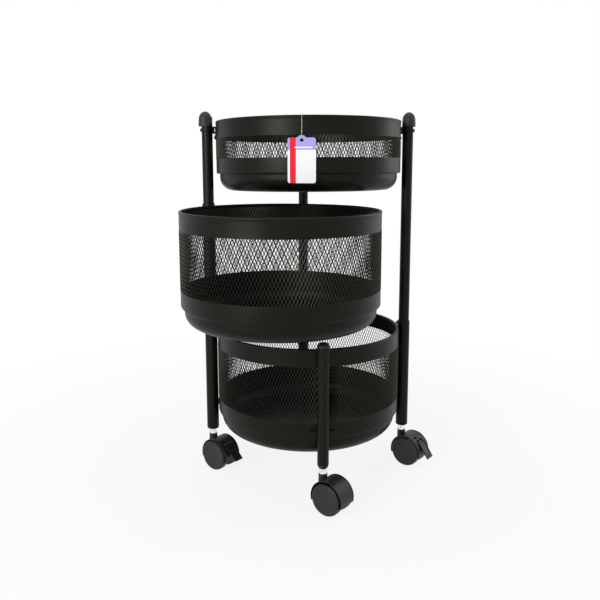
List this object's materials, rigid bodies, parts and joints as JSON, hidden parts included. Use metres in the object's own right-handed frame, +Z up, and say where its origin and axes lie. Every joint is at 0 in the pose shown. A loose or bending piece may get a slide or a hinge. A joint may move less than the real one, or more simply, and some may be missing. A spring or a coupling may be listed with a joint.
{
  "type": "tiered vegetable basket",
  "caption": "Free-standing rack of round expanded-metal baskets on posts with casters; the middle basket swings out about one post.",
  "frame": {"origin": "on the floor, under the middle of the bounding box, with the middle basket swung out as in the picture", "axes": "+X to the viewer's right, +Y away from the viewer, +Z up"},
  "size_m": [0.3898, 0.4256, 0.5686],
  "materials": {
    "powder_coat": "black satin powder coat",
    "cap_plastic": "black, finely grained",
    "caster_plastic": "black, satin",
    "chrome": "polished",
    "card": "coated card, blank of names",
    "clear_strand": "clear"
  },
  "bodies": {
    "frame": {"left_lower_tube": "powder_coat", "left_upper_tube": "powder_coat", "right_lower_tube": "powder_coat", "right_upper_tube": "powder_coat", "back_lower_tube": "powder_coat", "back_upper_tube": "powder_coat", "front_tube": "powder_coat", "left_cap": "cap_plastic", "right_cap": "cap_plastic", "back_cap": "cap_plastic", "front_cap": "cap_plastic", "left_plug": "cap_plastic", "right_plug": "cap_plastic", "back_plug": "cap_plastic", "front_plug": "cap_plastic", "top_rim_band": "powder_coat", "top_mesh_wall": "powder_coat", "top_lower_band": "powder_coat", "top_pan": "powder_coat", "bottom_rim_band": "powder_coat", "bottom_mesh_wall": "powder_coat", "bottom_lower_band": "powder_coat", "bottom_pan": "powder_coat", "top_left_collar": "powder_coat", "top_right_collar": "powder_coat", "top_back_collar": "powder_coat", "bottom_left_collar": "powder_coat", "bottom_right_collar": "powder_coat", "bottom_back_collar": "powder_coat", "bottom_front_collar": "powder_coat", "bottom_left_lug": "powder_coat", "bottom_right_lug": "powder_coat", "bottom_back_lug": "powder_coat", "bottom_front_lug": "powder_coat", "left_caster_stem": "chrome", "right_caster_stem": "chrome", "back_caster_stem": "chrome", "front_caster_stem": "chrome", "tag_loop": "clear_strand"},
    "middle_basket": {"middle_rim_band": "powder_coat", "middle_mesh_wall": "powder_coat", "middle_lower_band": "powder_coat", "middle_pan": "powder_coat", "middle_pivot_collar": "powder_coat", "middle_lower_collar": "powder_coat"},
    "left_caster": {"left_caster_housing": "caster_plastic"},
    "left_near_wheel": {"left_near_wheel": "caster_plastic"},
    "left_far_wheel": {"left_far_wheel": "caster_plastic"},
    "right_caster": {"right_caster_housing": "caster_plastic"},
    "right_near_wheel": {"right_near_wheel": "caster_plastic"},
    "right_far_wheel": {"right_far_wheel": "caster_plastic"},
    "back_caster": {"back_caster_housing": "caster_plastic"},
    "back_near_wheel": {"back_near_wheel": "caster_plastic"},
    "back_far_wheel": {"back_far_wheel": "caster_plastic"},
    "front_caster": {"front_caster_housing": "caster_plastic"},
    "front_near_wheel": {"front_near_wheel": "caster_plastic"},
    "front_far_wheel": {"front_far_wheel": "caster_plastic"},
    "left_brake_lever": {"left_brake_lever": "caster_plastic"},
    "right_brake_lever": {"right_brake_lever": "caster_plastic"},
    "tag_card": {"tag_card": "card"}
  },
  "joints": [
    {"name": "middle_swing", "type": "hinge", "parent": "frame", "child": "middle_basket", "pos_m": [-0.16299, 0.0388, 0.4123], "axis": [0, 0, -1], "range_deg": [-44.7, 220]},
    {"name": "left_swivel", "type": "hinge", "parent": "frame", "child": "left_caster", "pos_m": [-0.16299, 0.0388, 0.0537], "axis": [0, 0, 1], "continuous": true},
    {"name": "left_near_wheel_spin", "type": "hinge", "parent": "left_caster", "child": "left_near_wheel", "pos_m": [-0.15054, 0.02798, 0.024], "axis": [0.6561, 0.7547, 0], "continuous": true},
    {"name": "left_far_wheel_spin", "type": "hinge", "parent": "left_caster", "child": "left_far_wheel", "pos_m": [-0.15054, 0.02798, 0.024], "axis": [0.6561, 0.7547, 0], "continuous": true},
    {"name": "left_brake_press", "type": "hinge", "parent": "left_caster", "child": "left_brake_lever", "pos_m": [-0.15054, 0.02798, 0.024], "axis": [0.6561, 0.7547, 0], "range_deg": [0, 15]},
    {"name": "right_swivel", "type": "hinge", "parent": "frame", "child": "right_caster", "pos_m": [0.14781, 0.0388, 0.0537], "axis": [0, 0, 1], "continuous": true},
    {"name": "right_near_wheel_spin", "type": "hinge", "parent": "right_caster", "child": "right_near_wheel", "pos_m": [0.16026, 0.02798, 0.024], "axis": [0.6561, 0.7547, 0], "continuous": true},
    {"name": "right_far_wheel_spin", "type": "hinge", "parent": "right_caster", "child": "right_far_wheel", "pos_m": [0.16026, 0.02798, 0.024], "axis": [0.6561, 0.7547, 0], "continuous": true},
    {"name": "right_brake_press", "type": "hinge", "parent": "right_caster", "child": "right_brake_lever", "pos_m": [0.16026, 0.02798, 0.024], "axis": [0.6561, 0.7547, 0], "range_deg": [0, 15]},
    {"name": "back_swivel", "type": "hinge", "parent": "frame", "child": "back_caster", "pos_m": [-0.00759, 0.1942, 0.0537], "axis": [0, 0, 1], "continuous": true},
    {"name": "back_near_wheel_spin", "type": "hinge", "parent": "back_caster", "child": "back_near_wheel", "pos_m": [0.00486, 0.18338, 0.024], "axis": [0.6561, 0.7547, 0], "continuous": true},
    {"name": "back_far_wheel_spin", "type": "hinge", "parent": "back_caster", "child": "back_far_wheel", "pos_m": [0.00486, 0.18338, 0.024], "axis": [0.6561, 0.7547, 0], "continuous": true},
    {"name": "front_swivel", "type": "hinge", "parent": "frame", "child": "front_caster", "pos_m": [0.00503, -0.11608, 0.0537], "axis": [0, 0, 1], "continuous": true},
    {"name": "front_near_wheel_spin", "type": "hinge", "parent": "front_caster", "child": "front_near_wheel", "pos_m": [0.01749, -0.12691, 0.024], "axis": [0.6561, 0.7547, 0], "continuous": true},
    {"name": "front_far_wheel_spin", "type": "hinge", "parent": "front_caster", "child": "front_far_wheel", "pos_m": [0.01749, -0.12691, 0.024], "axis": [0.6561, 0.7547, 0], "continuous": true},
    {"name": "tag_swing", "type": "hinge", "parent": "frame", "child": "tag_card", "pos_m": [-0.02454, -0.10551, 0.5231], "axis": [-0.9932, 0.1167, 0], "range_deg": [0, 15]}
  ]
}
